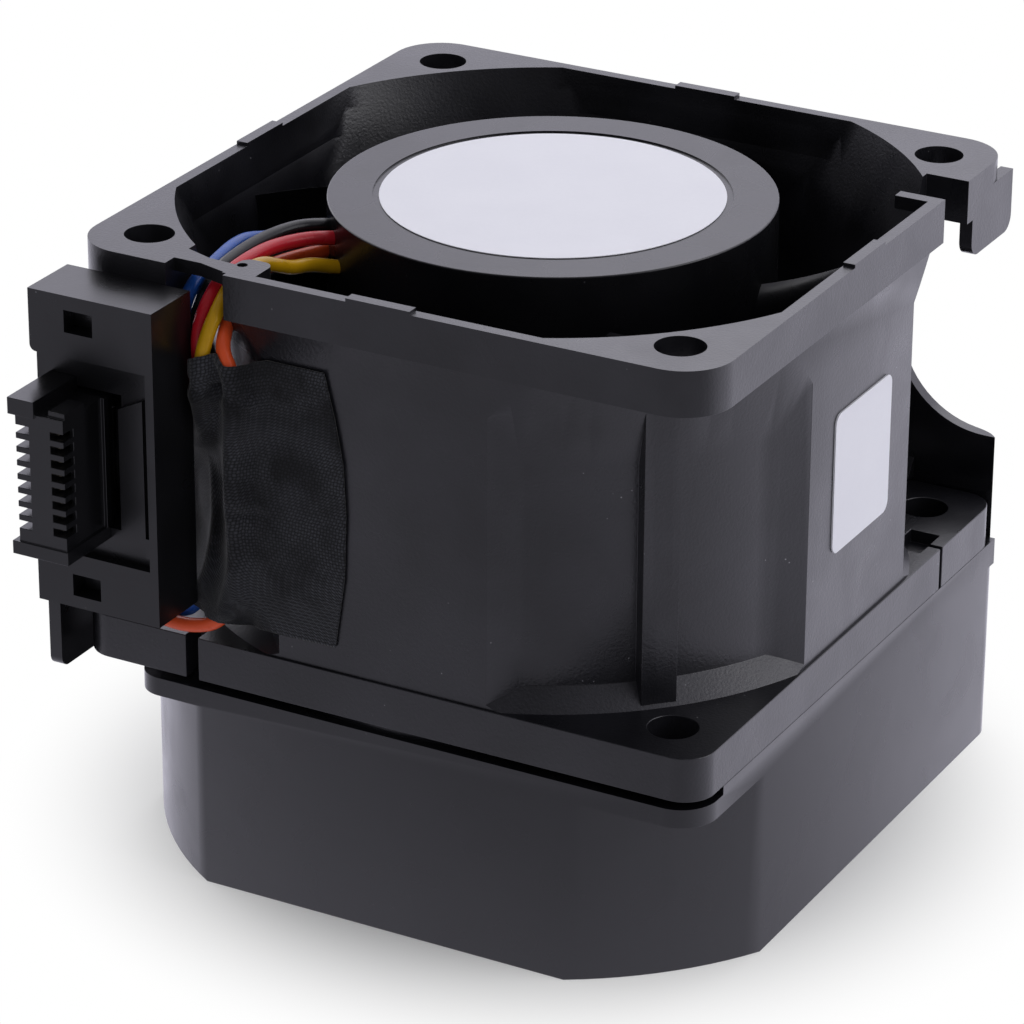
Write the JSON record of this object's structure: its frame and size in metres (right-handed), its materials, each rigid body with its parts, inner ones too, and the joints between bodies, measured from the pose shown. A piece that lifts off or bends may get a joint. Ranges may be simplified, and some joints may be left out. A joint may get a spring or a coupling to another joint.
{
  "type": "server fan module",
  "caption": "Square axial server fan on a plastic inlet duct, with swept outlet vanes, a blind-mate power plug on a side bracket, taped leads, and a motor that spins inside the hub.",
  "frame": {"origin": "on the fan's axis, in the plane of the duct's open end on which the module stands", "axes": "+Z along the fan's axis from the duct to the outlet grille, -Y towards the wires and the plug, +X towards the blank rating label"},
  "size_m": [0.0624, 0.0731, 0.0578],
  "materials": {
    "frame_plastic": "satin",
    "duct_plastic": "satin",
    "bracket_plastic": "satin",
    "plug_plastic": "satin",
    "impeller_plastic": "satin",
    "contact_metal": "polished",
    "brass": "satin",
    "bearing_steel": "polished",
    "spring_steel": "satin",
    "yoke_steel": "satin",
    "ferrite": "matte",
    "lamination_steel": "satin",
    "insulator_plastic": "matte",
    "copper_wire": "gloss",
    "board": "satin",
    "components": "satin",
    "label_film": "satin",
    "cloth_tape": "matte",
    "blue_insulation": "gloss",
    "black_insulation": "gloss",
    "red_insulation": "gloss",
    "orange_insulation": "gloss",
    "yellow_insulation": "gloss"
  },
  "bodies": {
    "housing": {"frame_outlet_flange": "frame_plastic", "frame_barrel": "frame_plastic", "frame_inlet_flange": "frame_plastic", "inlet_duct": "duct_plastic", "connector_bracket": "bracket_plastic", "connector_plug": "plug_plastic", "connector_contacts": "contact_metal", "outlet_stator": "frame_plastic", "bearing_tube": "brass", "bearing_outer_races": "bearing_steel", "stator_core": "lamination_steel", "winding_insulators": "insulator_plastic", "stator_coils": "copper_wire", "circuit_board": "board", "board_components": "components", "hub_label": "label_film", "side_label": "label_film", "wire_tape": "cloth_tape", "wire_blue": "blue_insulation", "wire_black": "black_insulation", "wire_red": "red_insulation", "wire_orange": "orange_insulation", "wire_yellow": "yellow_insulation"},
    "rotor": {"impeller": "impeller_plastic", "rotor_yoke": "yoke_steel", "magnet_ring": "ferrite", "shaft_bush": "brass", "shaft": "bearing_steel", "bearing_inner_races": "bearing_steel", "retaining_clip": "spring_steel", "preload_spring": "spring_steel"},
    "ball_set": {"bearing_balls": "bearing_steel"}
  },
  "joints": [
    {"name": "rotor_spin", "type": "hinge", "parent": "housing", "child": "rotor", "pos_m": [0, 0, 0], "axis": [0, 0, 1], "continuous": true},
    {"name": "ball_orbit", "type": "hinge", "parent": "housing", "child": "ball_set", "pos_m": [0, 0, 0], "axis": [0, 0, 1], "continuous": true}
  ],
  "couplings": [
    {"joint": "ball_orbit", "follows": "rotor_spin", "ratio": 0.3909}
  ]
}
